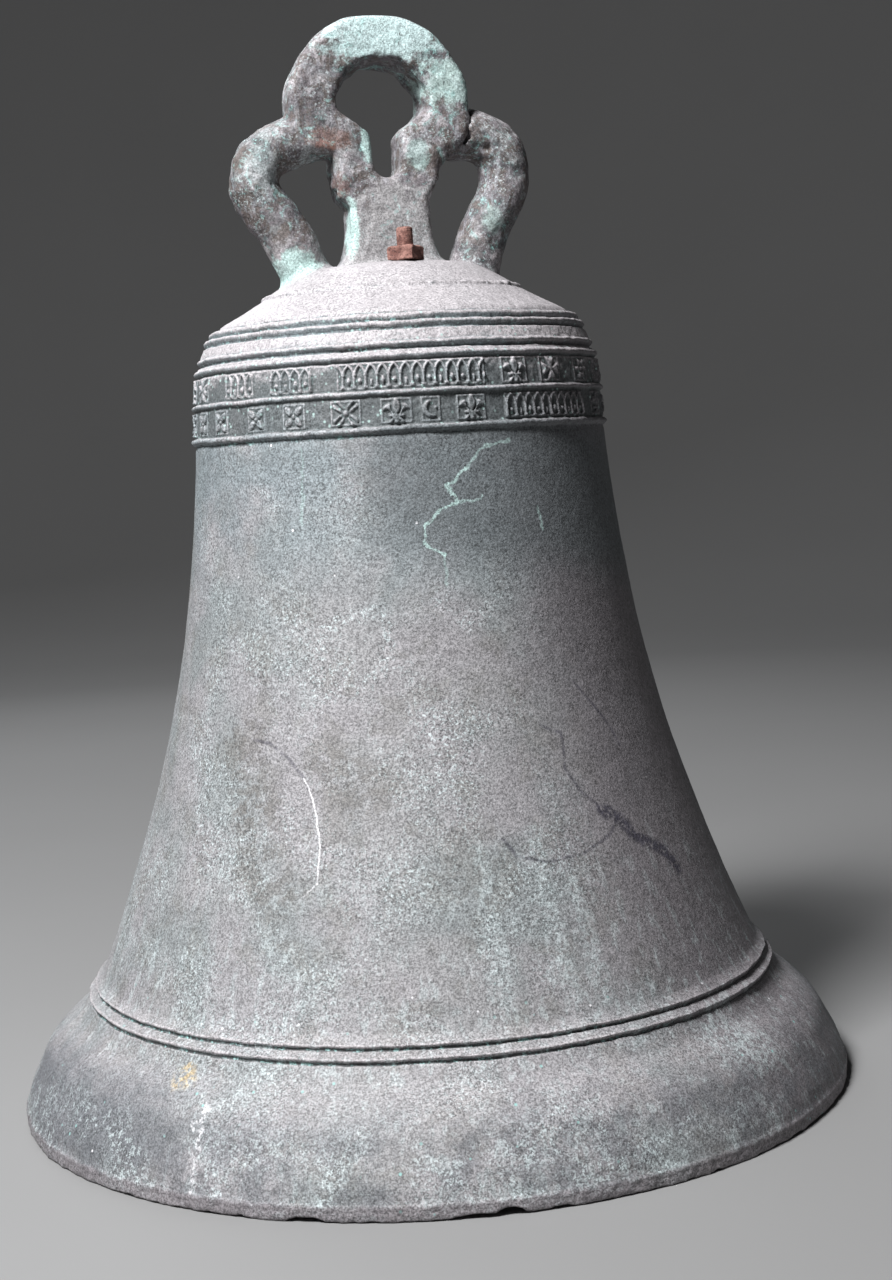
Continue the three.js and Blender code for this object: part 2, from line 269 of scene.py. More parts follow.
class Look:
    """A procedural material in the making. Values may be plain numbers, colours or sockets.

    colour is the colour so far; paint() lays more over it."""

    def __init__(self, name):
        self.material = bpy.data.materials.new(name)
        self.material.use_nodes = True
        self.nodes = self.material.node_tree.nodes
        self.links = self.material.node_tree.links
        self.shader = self.nodes["Principled BSDF"]
        self.colour = None
        self.place = self.vector("SCALE", self.node("TexCoord").outputs["Object"], scale=1 / MM)
        self.x, self.y, self.z = self.node("SeparateXYZ", Vector=self.place).outputs
        attribute = self.node("Attribute")
        attribute.attribute_name = "proud"
        self.proud = attribute.outputs["Fac"]

    def put(self, value, socket):
        if isinstance(value, bpy.types.NodeSocket):
            self.links.new(value, socket)
        elif isinstance(value, tuple) and len(value) == 3 and socket.type == "RGBA":
            socket.default_value = (*value, 1)
        else:
            socket.default_value = value

    def node(self, kind, **values):
        """A new node with its inputs set, each named with _ for a space."""
        node = self.nodes.new("ShaderNode" + kind)
        for name, value in values.items():
            self.put(value, node.inputs[name.replace("_", " ")])
        return node

    def noise(self, size, detail=3.0, rough=0.55, distortion=0.0, place=None):
        """Noise from 0 to 1 with lumps of about that size in millimetres."""
        node = self.node("TexNoise", Scale=1 / size, Detail=detail, Roughness=rough, Distortion=distortion)
        self.put(self.place if place is None else place, node.inputs["Vector"])
        return node.outputs["Fac"]

    def cloud(self, size, low, high, detail=4.0, rough=0.7, distortion=0.0):
        """Noise with lumps of about that size, as 0 where it is below low and 1 above high."""
        return self.ramp(self.noise(size, detail, rough, distortion), low, high)

    def streaks(self, size, length):
        """Noise stretched up and down, like the marks of running water."""
        return self.noise(size, 3, 0.6, 0, self.vector("MULTIPLY", self.place, (1, 1, size / length)))

    def specks(self, spacing, radius):
        """1 in small dots scattered about that far apart."""
        away = self.node("TexVoronoi", Vector=self.place, Scale=1 / spacing).outputs["Distance"]
        return self.ramp(away, 1.2 * radius / spacing, 0.6 * radius / spacing)

    def ramp(self, value, low, high):
        """0 below low and 1 above high, with a smooth step between. low may be the greater."""
        first, last = (1, 0) if low > high else (0, 1)
        low, high = sorted((low, high))
        node = self.node("MapRange", Value=value, From_Min=low, From_Max=high, To_Min=first, To_Max=last)
        node.interpolation_type = "SMOOTHSTEP"
        return node.outputs["Result"]

    def operation_node(self, kind, operation, values):
        """A new node of the kind that works on its inputs in order."""
        node = self.node(kind)
        node.operation = operation
        for value, socket in zip(values, node.inputs):
            self.put(value, socket)
        return node

    def maths(self, operation, *values):
        return self.operation_node("Math", operation, values).outputs[0]

    def vector(self, operation, *values, scale=None):
        node = self.operation_node("VectorMath", operation, values)
        if scale is not None:
            self.put(scale, node.inputs["Scale"])
        return node.outputs["Value" if operation in ("DOT_PRODUCT", "DISTANCE", "LENGTH") else "Vector"]

    def add(self, a, b):
        return self.maths("ADD", a, b)

    def less(self, a, b):
        return self.maths("SUBTRACT", a, b)

    def times(self, *values):
        total = values[0]
        for value in values[1:]:
            total = self.maths("MULTIPLY", total, value)
        return total

    def mix(self, factor, a, b):
        node = self.node("Mix")
        node.data_type = "RGBA"
        self.put(factor, node.inputs["Factor"])
        self.put(a, node.inputs["A"])
        self.put(b, node.inputs["B"])
        return node.outputs["Result"]

    def paint(self, tint, *shares):
        """Lays a tint over the colour so far, by the product of the shares."""
        self.colour = self.mix(self.times(*shares), self.colour, tint)

    def facing_up(self):
        normal = self.node("NewGeometry").outputs["Normal"]
        return self.node("SeparateXYZ", Vector=normal).outputs["Z"]

    def patch(self, centre, reach, ragged=0.9):
        """1 inside a ragged patch round a point, with its reach along each axis."""
        away = self.vector("DIVIDE", self.vector("SUBTRACT", self.place, centre), reach)
        away = self.vector("LENGTH", away)
        edge = self.times(self.less(self.noise(14, 5, 0.7), 0.5), 2 * ragged)
        return self.ramp(self.add(away, edge), 1.15, 0.75)

    def wall(self, wobble=7, size=16):
        """The wall laid flat in millimetres, round it and up it, pushed about a little."""
        azimuth = self.maths("ARCTAN2", self.x, self.times(self.y, -1))
        flat = self.node("CombineXYZ", X=self.times(azimuth, MARK_RADIUS), Y=self.z).outputs[0]
        push = self.node("TexNoise", Vector=self.place, Scale=1 / size, Detail=3).outputs["Color"]
        push = self.vector("SUBTRACT", push, (0.5, 0.5, 0.5))
        push = self.vector("MULTIPLY", push, (2 * wobble, 2 * wobble, 0))
        return self.vector("ADD", flat, push)

    def line(self, wall, points):
        """Distance from a line on the wall through points given as (azimuth in degrees, height)."""
        nearest = None
        corners = [Vector((math.radians(azimuth) * MARK_RADIUS, height, 0)) for azimuth, height in points]
        for start, end in zip(corners, corners[1:]):
            along = end - start
            offset = self.vector("SUBTRACT", wall, tuple(start))
            share = self.vector("DOT_PRODUCT", offset, tuple(along / along.length_squared))
            share = self.maths("MINIMUM", self.maths("MAXIMUM", share, 0.0), 1.0)
            foot = self.vector("SCALE", tuple(along), scale=share)
            gap = self.vector("DISTANCE", offset, foot)
            nearest = gap if nearest is None else self.maths("MINIMUM", nearest, gap)
        return nearest

    def mark(self, wall, points, reach, core):
        """0 beyond that reach from a line on the wall, and 1 within its core."""
        return self.ramp(self.line(wall, points), reach, core)

    def bump(self, height, distance, strength=1.0):
        """Adds relief of about that many millimetres, on top of any added before."""
        node = self.node("Bump", Distance=distance * MM, Strength=strength, Height=height)
        if self.shader.inputs["Normal"].is_linked:
            self.put(self.shader.inputs["Normal"].links[0].from_socket, node.inputs["Normal"])
        self.links.new(node.outputs["Normal"], self.shader.inputs["Normal"])

    def finish(self, rough, specular=0.5):
        self.put(self.colour, self.shader.inputs["Base Color"])
        self.put(rough, self.shader.inputs["Roughness"])
        self.shader.inputs["Specular IOR Level"].default_value = specular
        return self.material


GREY = (0.238, 0.235, 0.239)
LILAC_GREY = (0.25, 0.24, 0.249)
GREEN_GREY = (0.2, 0.213, 0.216)
DUSKY_GREY = (0.15, 0.137, 0.146)
BLUE_GREY = (0.165, 0.192, 0.203)
STAIN_AND_SHADE_GREY = (0.115, 0.12, 0.13)
OLIVE = (0.15, 0.145, 0.135)
DARK_OLIVE = (0.118, 0.11, 0.102)
RIM_LILAC = (0.2, 0.18, 0.19)
BLOOM = (0.44, 0.5, 0.505)
SHADOW = (0.04, 0.044, 0.046)
PURPLE_BLACK = (0.045, 0.042, 0.058)
SOOT_AND_SHADE_GREY = (0.105, 0.118, 0.124)
DUST = (0.368, 0.344, 0.354)
TILE_GREY = (0.075, 0.084, 0.086)
TURQUOISE = (0.26, 0.45, 0.43)
MINT = (0.4, 0.55, 0.52)
CHALK = (0.72, 0.71, 0.73)
FROST = (0.34, 0.345, 0.37)
BROWN = (0.088, 0.07, 0.063)
PURPLE_BROWN = (0.108, 0.094, 0.102)
RED_BROWN = (0.165, 0.088, 0.07)
OCHRE = (0.42, 0.32, 0.17)

TILES_FOOT = 789  # the ground behind the rows of tiles is dark between these heights
TILES_TOP = 866

# Marks on the wall, as (azimuth in degrees, height in millimetres).
# Each vein also has its strength.
VEINS = [
    (0.45, [(16, 770), (9, 763), (3, 742)]),
    (0.7, [(3, 742), (-2, 725), (0, 706), (-5, 696), (-8, 680), (-8.5, 662), (-4, 650)]),
    (0.3, [(-4, 650), (-4, 615)]),
    (0.4, [(0, 706), (7, 708)]),
    (0.25, [(-39, 770), (-39.5, 690)]),
    (0.5, [(23, 695), (23, 670)]),
]
GRAIN_TRAILS = [
    [(-28, 590), (-33.5, 574), (-35, 550), (-37, 520)],
    [(-25, 590), (-21, 594), (-18.5, 584), (-18.5, 550), (-21, 525), (-25, 510)],
    [(10, 612), (6, 588), (0, 575)],
]
WHITE_SCRATCH = [(-37.5, 420), (-35.5, 402), (-34, 380), (-33, 350), (-33, 310), (-36.5, 293), (-42, 288)]
FAINT_SCRATCHES = [
    [(-37.5, 420), (-41, 437), (-46, 455), (-51, 457)],
    [(25, 500), (31.5, 458), (35, 424)],
    [(28, 351), (25, 333), (17.5, 320), (9.5, 317), (4, 327), (2, 346)],
]
DARK_SCRIBBLE = [(14, 459), (19, 448), (18, 412), (20, 388), (24.5, 361)]
DARK_SMEAR = [(24.5, 361), (28, 351), (31, 328), (38, 306), (41, 280)]
DARK_SHOULDER = [(-6, 735), (62, 690)]
# DUSKY_SIDE and DARK_SIDE darken the right side, and DARK_LOW_SIDE the soundbow low on the left: partly
# darker patina, partly painted shade.
DUSKY_SIDE = [(54, 740), (64, 100)]
DARK_LOW_SIDE = [(-84, 60), (-58, 66)]
DARK_SIDE = [(90, 740), (94, 20)]
PALE_LOW_PATCH = [(33, 108), (37, 96)]
PALE_DRIPS = [[(-45.5, 98), (-45, 70), (-44.5, 18)], [(-46.3, 82), (-45, 68)]]
PALE_STREAKS = [[(-3, 335), (-2, 190)], [(8, 350), (9.5, 180)], [(14, 300), (15, 175)]]
BROWN_PATCHES = [[(-53, 455), (-49, 400)], [(-48, 370), (-42, 300)], [(-30, 430), (-24, 400)]]
OCHRE_SPOT = [(-52, 117), (-51.5, 113)]


def weathered(look, base, dense):
    """The skin all old bronze here shares: clouds of colour, dark hollows, pale ridges and squiggly grains.

    Returns the mottle that the dust and the gloss follow."""
    mottle = look.noise(52, 6, 0.62, 0.4)
    look.colour = look.mix(look.cloud(190, 0.4, 0.6, 4, 0.55, 0.3), base, GREEN_GREY)
    look.paint(LILAC_GREY, look.cloud(130, 0.44, 0.6, 4, 0.5), 0.8)
    look.paint(OLIVE, look.ramp(mottle, 0.5, 0.62), 0.45)
    squiggles = look.cloud(3.9, 0.53, 0.6, 3, 0.68, 0.7)
    look.paint(BLOOM, squiggles, dense, 0.66)
    hollow = look.ramp(look.proud, -0.12, -0.95)
    look.paint(SHADOW, hollow, 0.9)
    flecks = look.cloud(6, 0.53, 0.6)
    look.paint(TURQUOISE, hollow, flecks, 0.75)
    raised = look.ramp(look.proud, 0.2, 1.2)
    worn = look.cloud(9, 0.36, 0.56)
    look.paint(DUST, raised, look.add(0.35, look.times(worn, 0.6)))
    return mottle


def dust(look, mottle, lift, most):
    """Lays lilac-white dust on what faces up, thinner where it is mottled and none in the deeper grooves."""
    up = look.add(look.facing_up(), look.times(look.less(mottle, 0.5), 0.9))
    look.paint(DUST, look.ramp(look.add(up, lift), 0.5, 1.0), look.ramp(look.proud, -1.3, -0.3), most)


def grain(look, spread):
    """Makes the colour lighter and darker grain by grain, by up to that share of itself."""
    fine = look.cloud(2.0, 0.4, 0.6, 2, 0.6)
    middle = look.cloud(3.1, 0.4, 0.6, 3, 0.65)
    coarse = look.cloud(13, 0.38, 0.62, 5, 0.72)
    share = look.add(look.times(fine, 0.48), look.times(middle, 0.36))
    share = look.add(share, look.times(coarse, 0.16))
    shade = look.add(look.less(1.0, spread), look.times(share, 2.0, spread))
    look.colour = look.vector("SCALE", look.colour, scale=shade)


def surface_grain(look):
    look.bump(look.noise(14, 4, 0.65), 1.6, 0.5)
    look.bump(look.noise(4.5, 4, 0.7), 0.65, 0.8)
    look.bump(look.noise(1.9, 2, 0.6), 0.55, 0.8)


def bell_patina():
    """The bell's wall: weathered bronze with mineral veins, drips, scratches and a scribble, darkened on its
    right side, low on the left and towards the lip, partly by darker patina and partly by painted shade.
    """
    look = Look("bell_bronze")
    wall = look.wall()
    dense = look.cloud(100, 0.42, 0.62, 4, 0.6)
    # dusky: the right side, partly darker patina and partly painted shade
    dusky = look.mark(wall, DUSKY_SIDE, 255, 115)
    dense = look.times(dense, look.less(1.0, look.times(dusky, 0.88)))
    for trail in GRAIN_TRAILS:
        dense = look.maths("MAXIMUM", dense, look.mark(wall, trail, 14, 3))
    mottle = weathered(look, GREY, dense)
    look.paint(BLUE_GREY, look.ramp(look.z, 540, 730), look.cloud(90, 0.3, 0.6, 4, 0.6), 0.85)
    # Painted shade on the right side, partly darker patina.
    look.paint(DUSKY_GREY, dusky, 0.85)
    look.paint(SOOT_AND_SHADE_GREY, look.mark(wall, DARK_SHOULDER, 120, 45), 0.82)
    look.paint(BLOOM, look.ramp(look.streaks(11, 90), 0.53, 0.66), look.ramp(look.z, 420, 150), 0.35)
    broken = look.cloud(15, 0.44, 0.54, 5, 0.72)
    for patch in BROWN_PATCHES:
        look.paint(DARK_OLIVE, look.mark(wall, patch, 44, 14), broken, 0.55)
    for streak in PALE_STREAKS:
        look.paint(BLOOM, look.mark(wall, streak, 13, 2), look.cloud(7, 0.42, 0.58, 4, 0.72), 0.42)
    # Mottled darkening towards the lip: partly stain, partly painted shade.
    look.paint(STAIN_AND_SHADE_GREY, look.ramp(look.z, 122, 70), look.cloud(62, 0.42, 0.58, 5, 0.68), 0.62)
    # Painted shade on the soundbow low on the left, partly darker patina.
    look.paint(STAIN_AND_SHADE_GREY, look.mark(wall, DARK_LOW_SIDE, 62, 30), 0.75)
    # Painted shade on the far right side, partly darker patina.
    look.paint(SOOT_AND_SHADE_GREY, look.mark(wall, DARK_SIDE, 160, 70), 0.55)
    blotches = look.times(look.cloud(8, 0.5, 0.6, 4, 0.72), look.cloud(48, 0.44, 0.6, 3, 0.6))
    lit_side = look.less(1.0, look.times(dusky, 0.8))
    look.paint(BLOOM, blotches, look.ramp(look.z, 95, 50), lit_side, 0.6)
    look.paint(BLOOM, look.mark(wall, PALE_LOW_PATCH, 36, 8), look.cloud(7, 0.44, 0.56, 4, 0.72), 0.6)
    rim = look.add(look.z, look.times(look.less(look.noise(18, 4, 0.7), 0.5), 12))
    look.paint(RIM_LILAC, look.ramp(rim, 19, 14), 0.7)
    above_foot = look.ramp(look.z, TILES_FOOT, TILES_FOOT + 3)
    below_top = look.ramp(look.z, TILES_TOP, TILES_TOP - 3)
    look.paint(TILE_GREY, above_foot, below_top, look.ramp(look.proud, 0.5, 0), 0.8)
    shoulder = look.ramp(look.z, 780, 885)
    most = look.add(0.35, look.times(shoulder, 0.55))
    dust(look, mottle, look.times(shoulder, 0.6), most)
    crooked = look.cloud(13, 0.3, 0.42)
    beads = look.times(look.less(look.noise(5, 3, 0.6), 0.5), 6)
    for strength, vein in VEINS:
        away = look.add(look.line(wall, vein), beads)
        look.paint(MINT, look.ramp(away, 2.4, 0.8), crooked, strength)
    for drip in PALE_DRIPS:
        away = look.add(look.line(wall, drip), beads)
        patchy = look.cloud(9, 0.4, 0.6)
        look.paint(CHALK, look.ramp(away, 3.5, 0.5), patchy, 0.55)
    look.paint(OCHRE, look.mark(wall, OCHRE_SPOT, 12, 4), look.cloud(7, 0.42, 0.56), 0.75)
    steady = look.wall(3, 26)
    worn = look.cloud(12, 0.34, 0.56)
    fading = look.times(look.ramp(look.z, 285, 330), look.add(0.45, look.times(worn, 0.5)))
    scratch = look.times(look.mark(steady, WHITE_SCRATCH, 1.1, 0.3), fading)
    look.paint(CHALK, scratch)
    for faint in [*FAINT_SCRATCHES, DARK_SCRIBBLE]:
        look.paint(PURPLE_BLACK, look.mark(steady, faint, 2.6, 0.6), worn, 0.62)
    look.paint(PURPLE_BLACK, look.mark(wall, DARK_SMEAR, 10, 2.5), look.cloud(6, 0.36, 0.5), 0.9)
    spread = look.less(look.add(0.56, look.times(dense, 0.16)), look.times(shoulder, 0.16))
    grain(look, spread)
    rare = look.cloud(60, 0.48, 0.58, 2, 0.5)
    look.paint(CHALK, look.specks(34, 1.6), rare)
    crystals = look.times(look.specks(8, 1.7), look.ramp(look.z, 778, 800), look.ramp(look.z, 925, 915))
    crystals = look.times(crystals, look.cloud(26, 0.42, 0.56, 3, 0.6), 0.8)
    look.paint(MINT, crystals)
    sparse = look.cloud(40, 0.45, 0.55, 3, 0.55)
    look.paint(TURQUOISE, look.specks(22, 1.9), look.ramp(look.z, 260, 90), sparse)
    surface_grain(look)
    return look.finish(look.add(0.48, look.times(mottle, 0.25)), 0.45)


# Coloured patches on the crown: middle, reach along each axis, colour, strength.
CROWN_PATCHES = [
    ((0, -8, 1252), (88, 44, 42), (0.43, 0.555, 0.55), 0.9),
    ((-72, -10, 1130), (31, 50, 17), RED_BROWN, 0.5),
    ((-76, -26, 1122), (12, 20, 9), (0.24, 0.11, 0.08), 0.45),
    ((-60, -26, 1078), (13, 20, 17), RED_BROWN, 0.45),
    ((0, -31, 1008), (70, 34, 70), (0.285, 0.278, 0.28), 0.88),
    ((54, -26, 1030), (5, 20, 34), MINT, 0.6),
    ((-24, -20, 1126), (9, 55, 26), MINT, 0.75),
    ((34, -20, 1112), (14, 45, 20), MINT, 0.5),
    ((-48, -18, 1028), (9, 26, 42), MINT, 0.85),
    ((-118, -12, 982), (30, 45, 26), MINT, 0.85),
    ((-150, -20, 1100), (20, 40, 26), BLOOM, 0.35),
    ((122, -22, 1034), (13, 30, 16), (0.34, 0.44, 0.42), 0.5),
    ((60, 34, 1150), (50, 20, 60), MINT, 0.5),
    ((-70, 34, 1190), (40, 20, 50), BLOOM, 0.5),
]


def crown_patina():
    """The crown: purple-brown bronze with green washes, red-brown joints, chalky grains and dust."""
    look = Look("crown_bronze")
    mottle = weathered(look, PURPLE_BROWN, look.cloud(60, 0.46, 0.6, 4, 0.6))
    high = look.ramp(look.z, 985, 1025)
    look.paint(PURPLE_BROWN, look.cloud(34, 0.4, 0.54, 5, 0.65, 0.6), high, 0.85)
    brown = look.times(look.cloud(23, 0.47, 0.57, 5, 0.7, 0.6), high, 0.85)
    look.paint(BROWN, brown)
    frost = look.times(look.ramp(look.streaks(8, 30), 0.5, 0.62), look.cloud(45, 0.42, 0.58, 3, 0.6), high)
    look.paint(FROST, frost, 0.38)
    open_sky = look.ramp(look.facing_up(), -0.8, -0.3)
    for centre, reach, tint, strength in CROWN_PATCHES:
        look.paint(tint, look.patch(centre, reach), open_sky, strength)
    wash = look.times(look.patch((80, -10, 1196), (40, 60, 32), 1.0), look.ramp(look.z, 1227, 1222), 0.58)
    look.paint(MINT, wash)
    green = look.times(look.cloud(24, 0.56, 0.64, 6, 0.74, 0.8), high, 0.5)
    look.paint(TURQUOISE, green)
    thick_grains = look.cloud(40, 0.42, 0.58, 4, 0.6)
    grains = look.times(look.cloud(3.4, 0.55, 0.62, 3, 0.65), thick_grains, high, 0.5)
    look.paint(BLOOM, grains)
    pits = look.times(look.cloud(7, 0.6, 0.66), look.ramp(look.z, 1050, 1080), 0.6)
    look.paint(SHADOW, pits)
    dust(look, mottle, 0.0, 0.42)
    grain(look, 0.5)
    surface_grain(look)
    return look.finish(look.add(0.5, look.times(mottle, 0.3)), 0.45)


def rusty_iron(name, base, rust, dark):
    """Forged iron under rust, with darker pits."""
    look = Look(name)
    look.colour = look.mix(look.cloud(14, 0.4, 0.62, 6, 0.7, 0.5), base, rust)
    look.paint(dark, look.cloud(2.6, 0.5, 0.62, 5, 0.7), 0.8)
    look.bump(look.noise(3, 6, 0.75), 1.2, 1.0)
    return look.finish(look.add(0.7, look.times(look.noise(8), 0.3)), 0.3)


def greased_leather(name):
    look = Look(name)
    look.colour = look.mix(look.noise(6, 4, 0.6), (0.045, 0.022, 0.012), (0.11, 0.06, 0.035))
    look.bump(look.noise(2, 4, 0.7), 0.4, 0.6)
    return look.finish(0.55)


bell_bronze = bell_patina()
crown_bronze = crown_patina()
nut_rust = rusty_iron("nut_rust", (0.15, 0.068, 0.055), (0.31, 0.165, 0.135), (0.04, 0.02, 0.02))
dark_iron = rusty_iron("dark_iron", (0.05, 0.042, 0.038), (0.11, 0.058, 0.036), (0.025, 0.02, 0.018))
bush_leather = greased_leather("bush_leather")


# ---------- The bell's outline, as (radius, height) in millimetres ----------

HEAD_OUTLINE = [(0, 985), (60, 984.6), (88, 982.8), (104, 979.5), (118, 973), (136, 962.5), (153, 952)]
OUTER_OUTLINE = [
    (156, 949), (173, 939), (190, 929.5), (205, 921), (216, 912.5), (225, 901), (230.5, 890), (234.5, 878),
    (238.5, 860), (241, 840), (242.5, 815), (244, 790), (245.6, 768), (252, 700), (265.6, 600),
    (284.5, 500), (310.6, 400), (343.2, 300), (381, 200), (398.5, 160), (412, 137), (424.5, 120),
    (448.6, 100), (467.6, 80), (478.5, 60), (488.5, 40), (495.5, 20), (498.4, 6), (497.4, 1), (494, 0),
]
INNER_OUTLINE = [
    (487, 0), (466, 8), (436, 26), (412, 50), (393, 80), (374, 112), (356, 148), (330, 215), (305, 305),
    (283, 395), (248, 545), (226, 690), (215, 800), (208, 852), (194, 890), (168, 915), (112, 943),
    (0, 943),
]

# Raised or sunk mouldings: height of the middle, width up the wall, height above the wall.
LEDGE_HEIGHT = 951.5  # the ledge left by the mould's joint
MOULDINGS = [
    (LEDGE_HEIGHT, 5, 1.6),
    (916.6, 4.4, -2.6),
    (911.6, 5.6, 3),
    (907.2, 3.4, -2.4),
    (902.8, 5.6, 3),
    (898.2, 4, -2.4),
    (881, 5.6, 2.8),
    (876, 4.6, -2.8),
    (867.6, 7.6, 4),
    (862.4, 3, -1),
    (827.8, 6.6, 4.2),
    (788.4, 8, 4.6),
    (782.8, 3.4, -1),
    (15.5, 7, 1.2),
]
# Steps that swell outwards on the way down and then break off: height of the edge, height above it, swell.
STEPS = [(151.4, 13, 4.6), (138.6, 12, 5.2)]
STEP_DROP = 1.6
STEP_UNDERCUT = 1.4

RELIEF_BAND = (783, 957)
BAND_COLUMNS = 1440
BODY_COLUMNS = 480
LIP_COLUMNS = 1440
LIP_RIM = 22
INSIDE_COLUMNS = 240


def moulding_height(height):
    total = np.zeros(len(height))
    for middle, width, proud in MOULDINGS:
        share = np.clip(1 - (2 * (height - middle) / width) ** 2, 0, 1)
        total += proud * share**0.7
    for edge, reach, swell in STEPS:
        above = np.clip((height - edge) / reach, 0, 1)
        below = np.clip((edge - height) / STEP_DROP, 0, 1)
        total += swell * (1 - above) ** 1.5 * (1 - below)
        total -= STEP_UNDERCUT * np.clip(1 - np.abs(height - edge + STEP_DROP + 1) / 1.8, 0, 1)
    return total


# ---------- Ornaments: distance fields on a tile, u along it and v up it, in millimetres ----------


def disc(u, v, centre, radius):
    return np.hypot(u - centre[0], v - centre[1]) - radius


def stroke(u, v, start, end, radius):
    return rod(u, v, 0, (*start, 0), (*end, 0), radius)


def leaf(u, v, start, end, width):
    """A leaf with a point at each end."""
    middle = (np.array(start) + np.array(end)) / 2
    half = np.array(end) - middle
    length = np.hypot(*half)
    along = ((u - middle[0]) * half[0] + (v - middle[1]) * half[1]) / length**2
    across = np.abs((v - middle[1]) * half[0] - (u - middle[0]) * half[1]) / length
    return across - width * (1 - along**2)


def union(*fields):
    return np.minimum.reduce(fields)


def fleur(u, v):
    side = np.abs(u)
    petal = np.maximum(disc(side, v, (7.8, 0.4), 7.2), -disc(side, v, (11, -4), 5.6))
    return union(
        leaf(u, v, (0, -5), (0, 14.8), 4.8),
        np.maximum(petal, 1.2 - np.abs(leaf(u, v, (0, -5), (0, 14.8), 4.8))),
        stroke(side, v, (0, -5.4), (7, -5.4), 1.8),
        leaf(u, v, (0, -5), (0, -14.6), 3.4),
        stroke(side, v, (2.5, -7.5), (7, -12), 1.7),
    )


def cross(u, v):
    arm_u = np.maximum(np.abs(v) - 1.4 - 0.46 * np.abs(u), np.abs(u) - 12.8)
    arm_v = np.maximum(np.abs(u) - 1.4 - 0.46 * np.abs(v), np.abs(v) - 12.8)
    notch = union(disc(np.abs(u), v, (14.5, 0), 3), disc(u, np.abs(v), (0, 14.5), 3))
    return union(np.maximum(union(arm_u, arm_v), -notch), disc(u, v, (0, 0), 3.2))


def diagonals(u, v):
    """Distances along and across the diagonals."""
    return np.abs(u + v) / math.sqrt(2), np.abs(u - v) / math.sqrt(2)


def saltire(u, v):
    a, b = diagonals(u, v)
    arms = union(leaf(a, b, (1, 0), (15.5, 0), 4), leaf(a, b, (0, 1), (0, 15.5), 4))
    return union(np.maximum(arms, 1.4 - np.hypot(u, v) + 2), disc(u, v, (0, 0), 2.6))


def four_leaves(u, v):
    a, b = diagonals(u, v)
    tips = union(disc(a, b, (13.5, 2), 3.4), disc(a, b, (2, 13.5), 3.4))
    arms = union(leaf(a, b, (2, 0), (18, 0), 4.6), leaf(a, b, (0, 2), (0, 18), 4.6), tips)
    return union(np.maximum(arms, 1.3 - np.minimum(a, b)), disc(u, v, (0, 0), 3.2))


def rosette(u, v):
    reach = np.hypot(u, v)
    petals = reach - 9.5 - 3 * np.cos(6 * np.arctan2(v, u))
    return union(np.maximum(petals, 4.8 - reach), reach - 3)


def crescent(u, v):
    return union(np.maximum(disc(u, v, (0, 0), 9.5), -disc(u, v, (4, 1), 7.6)), disc(u, v, (5.5, 1.5), 1.8))


ARCH_WIDTH = 12.6


def arcade(u, v):
    """A run of pointed arches on small columns, each with a lozenge, a ball or a bar in it."""
    bay = np.floor(u / ARCH_WIDTH)
    across = u - (bay + 0.5) * ARCH_WIDTH
    side = ARCH_WIDTH / 2 - np.abs(across)
    column = np.maximum(side - 1.7, np.maximum(v - 2, -11 - v))
    foot = np.maximum(side - 2.9, np.abs(v + 11.2) - 1.6)
    capital = np.maximum(side - 2.7, np.abs(v - 1.6) - 1.3)
    arch = np.abs(np.hypot(np.abs(across) + ARCH_WIDTH / 2, v - 2) - ARCH_WIDTH + 0.8) - 1.5
    arch = np.maximum(arch, 2 - v)
    lozenge = np.abs(across) * 1.3 + np.abs(v + 5) * 0.8 - 3.6
    ball = np.hypot(across, v + 5) - 2.4
    bar = np.maximum(np.abs(across) - 1.3, np.abs(v + 7) - 3.5)
    kind = bay.astype(int) % 3
    filling = np.where(kind == 0, lozenge, np.where(kind == 1, ball, bar))
    return union(column, foot, capital, arch, filling)


# Tiles as (first azimuth, last azimuth, ornament), in degrees. The front ones are placed one by one.
UPPER_TILES = [
    (-66, -54.2, arcade),
    (-48.3, -35.4, arcade),
    (-28.8, 10.7, arcade),
    (15.3, 23.9, fleur),
    (28.2, 36.7, cross),
    (43.5, 51.5, rosette),
]
LOWER_TILES = [
    (-72, -65.2, saltire),
    (-56.8, -50, saltire),
    (-44.7, -37.6, saltire),
    (-30.8, -22.4, four_leaves),
    (-17.7, -9.3, fleur),
    (-7.4, -2, crescent),
    (1.9, 10.2, fleur),
    (15.5, 46.5, arcade),
]
# Those round the back repeat: gap before the tile, its width, its ornament.
UPPER_REPEAT = [(5, 27, arcade), (4.6, 8.5, fleur), (4.4, 8.5, cross)]
LOWER_REPEAT = [(6, 8.3, fleur), (5, 7, saltire), (6, 29, arcade), (5, 8.4, four_leaves)]
UPPER_ROW = (846.8, 15.4)  # height of the middle, half height
LOWER_ROW = (808, 14.6)
BAND_RADIUS = 242
TILE_PROUD = 1.1
ORNAMENT_PROUD = 2.9
ORNAMENT_EDGE = 1.2


def all_round(tiles, repeat):
    """The placed tiles, and the repeated ones that fill the rest of the circle."""
    tiles = list(tiles)
    end = tiles[0][0] + 360
    azimuth = tiles[-1][1]
    for gap, width, ornament in repeat * 9:
        if azimuth + gap + width + gap > end:
            continue
        azimuth += gap
        tiles.append((azimuth, azimuth + width, ornament))
        azimuth += width
    return tiles


def angle_from(azimuth, middle):
    """The turn from a middle in degrees, the shorter way round."""
    return (azimuth - np.radians(middle) + math.pi) % (2 * math.pi) - math.pi


